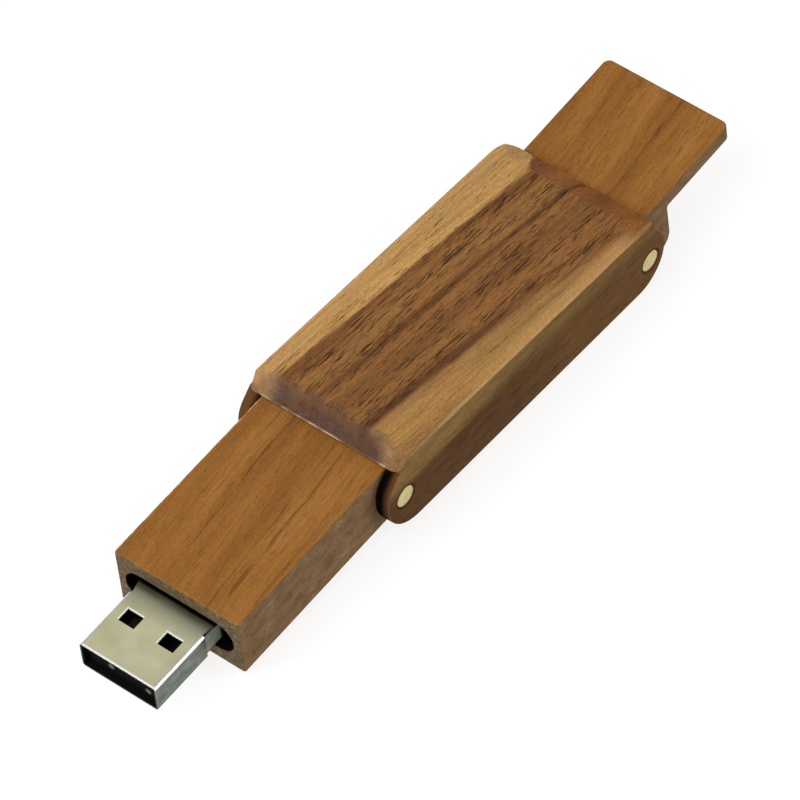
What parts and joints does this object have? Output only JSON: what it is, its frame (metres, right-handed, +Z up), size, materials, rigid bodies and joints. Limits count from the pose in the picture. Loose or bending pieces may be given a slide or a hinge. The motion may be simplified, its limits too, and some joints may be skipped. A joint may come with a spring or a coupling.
{
  "type": "usb flash drive",
  "caption": "Folding wooden USB flash drive: a bevelled channel cover pinned to a swinging stick with the plug at one end and a swinging cap at the other.",
  "frame": {"origin": "centre of the footprint, on the surface the opened drive stands on", "axes": "+X along the drive from the plug towards the cap, +Z up, +Y completes the right-handed frame"},
  "size_m": [0.1122, 0.024, 0.0155],
  "materials": {
    "cover_wood": "oiled walnut with paler sapwood along both edges",
    "stick_wood": "oiled",
    "cap_wood": "oiled",
    "pin_brass": "satin, sawn flush",
    "plug_steel": "bright plated",
    "insulator_plastic": "moulded",
    "frame_plastic": "moulded",
    "contact_metal": "gold plated",
    "board_laminate": "solder mask",
    "chip_plastic": "moulded",
    "crystal_can": "satin",
    "capacitor_ceramic": "ceramic",
    "resistor_black": "satin",
    "solder": "bright",
    "glue": "cured, slightly yellow"
  },
  "bodies": {
    "cover": {"cover": "cover_wood", "front_hinge_pin": "pin_brass", "rear_hinge_pin": "pin_brass"},
    "stick": {"stick_block": "stick_wood", "usb_shell": "plug_steel", "usb_insulator": "insulator_plastic", "module_frame": "frame_plastic", "vbus_contact": "contact_metal", "data_minus_contact": "contact_metal", "data_plus_contact": "contact_metal", "ground_contact": "contact_metal", "circuit_board": "board_laminate", "controller_chip": "chip_plastic", "flash_chip": "chip_plastic", "crystal": "crystal_can", "supply_capacitor": "capacitor_ceramic", "core_capacitor": "capacitor_ceramic", "io_capacitor": "capacitor_ceramic", "data_minus_resistor": "resistor_black", "data_plus_resistor": "resistor_black", "left_shell_solder": "solder", "right_shell_solder": "solder", "left_glue_dab": "glue", "right_glue_dab": "glue"},
    "cap": {"cap": "cap_wood"}
  },
  "joints": [
    {"name": "stick_hinge", "type": "hinge", "parent": "cover", "child": "stick", "pos_m": [-0.01457, 0, 0.00727], "axis": [0, -1, 0], "range_deg": [-6.2, 173.8]},
    {"name": "cap_hinge", "type": "hinge", "parent": "cover", "child": "cap", "pos_m": [0.03597, 0, 0.00495], "axis": [0, 1, 0], "range_deg": [0, 188.4]}
  ]
}
